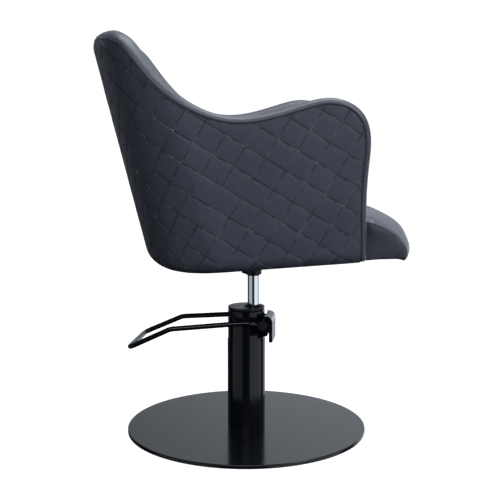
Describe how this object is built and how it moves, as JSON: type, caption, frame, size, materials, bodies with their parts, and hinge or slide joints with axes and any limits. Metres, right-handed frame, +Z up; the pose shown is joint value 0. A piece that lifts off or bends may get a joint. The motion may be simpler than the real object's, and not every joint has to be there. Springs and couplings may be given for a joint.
{
  "type": "styling chair",
  "caption": "Hydraulic salon styling chair: wrap-around quilted tub seat with smooth lining and waterfall cushion, chrome ram, foot pump with U-shaped pedal, round floor plate.",
  "frame": {"origin": "on the floor, under the axis of the chrome ram, which is the axis that the seat swivels about; the floor plate's centre is 16.5 mm behind it along the pump", "axes": "+Z up; the sitter faces -Y; the sitter's left is +X. The pump and its pedal stand turned by -10.65 degrees about Z from the seat's heading, as pictured"},
  "size_m": [0.6006, 0.711, 0.9082],
  "materials": {
    "gloss_black": "gloss black stove enamel",
    "satin_black_steel": "satin black paint",
    "rubber": "plain black rubber",
    "zinc_steel": "zinc-plated steel",
    "black_hardware": "blackened steel hardware",
    "ground_steel": "ground steel",
    "bronze": "machined bronze",
    "chrome": "hard chrome, polished",
    "plywood": "birch plywood",
    "dust_cloth": "black non-woven cloth",
    "frame_shell": "moulded ply",
    "quilted_leather": "matt charcoal upholstery leather, quilted in squares",
    "smooth_leather": "matt charcoal upholstery leather, smooth, fine grain"
  },
  "bodies": {
    "root": {"base_plate": "gloss_black", "base_floor_ring": "rubber", "base_bolts": "zinc_steel", "column_sleeve": "gloss_black", "pump_casting": "gloss_black", "head_cap": "satin_black_steel", "cylinder_liner": "ground_steel", "ram_guide_bush": "bronze", "gland_nut": "satin_black_steel", "wiper_seal": "rubber", "pivot_bolt": "black_hardware", "pivot_nuts": "black_hardware", "pivot_washers": "black_hardware"},
    "lift": {"piston": "ground_steel", "piston_seal": "rubber", "thrust_races": "zinc_steel", "thrust_balls": "ground_steel"},
    "seat": {"ram": "chrome", "seat_hub": "satin_black_steel", "seat_plate": "satin_black_steel", "plate_bolts": "zinc_steel", "plate_washers": "zinc_steel", "tee_nuts": "zinc_steel", "seat_board": "plywood", "dust_cover": "dust_cloth", "outer_cover": "quilted_leather", "tub_frame": "frame_shell", "inner_lining": "smooth_leather", "rim_band": "smooth_leather", "seat_cushion": "smooth_leather"},
    "pedal": {"pedal_lever": "gloss_black", "pedal_bracket": "gloss_black", "pivot_bushes": "bronze", "pump_cam": "zinc_steel"},
    "plunger": {"pump_plunger": "ground_steel", "plunger_spring": "zinc_steel"}
  },
  "joints": [
    {"name": "lift", "type": "slide", "parent": "root", "child": "lift", "axis": [0, 0, 1], "range_m": [0, 0.15]},
    {"name": "swivel", "type": "hinge", "parent": "lift", "child": "seat", "pos_m": [0, 0, 0.3], "axis": [0, 0, 1], "continuous": true},
    {"name": "pedal_press", "type": "hinge", "parent": "root", "child": "pedal", "pos_m": [-0.0049, -0.02604, 0.2565], "axis": [-0.9828, 0.1848, 0], "range_deg": [0, 22], "stiffness_Nm_per_rad": 4, "springref_deg": -34.38},
    {"name": "plunger_stroke", "type": "slide", "parent": "root", "child": "plunger", "axis": [0, 0, -1], "range_m": [0, 0.008], "deforming": ["plunger_spring"]}
  ],
  "couplings": [
    {"joint": "plunger_stroke", "follows": "pedal_press", "m_per_rad": 0.0184}
  ]
}
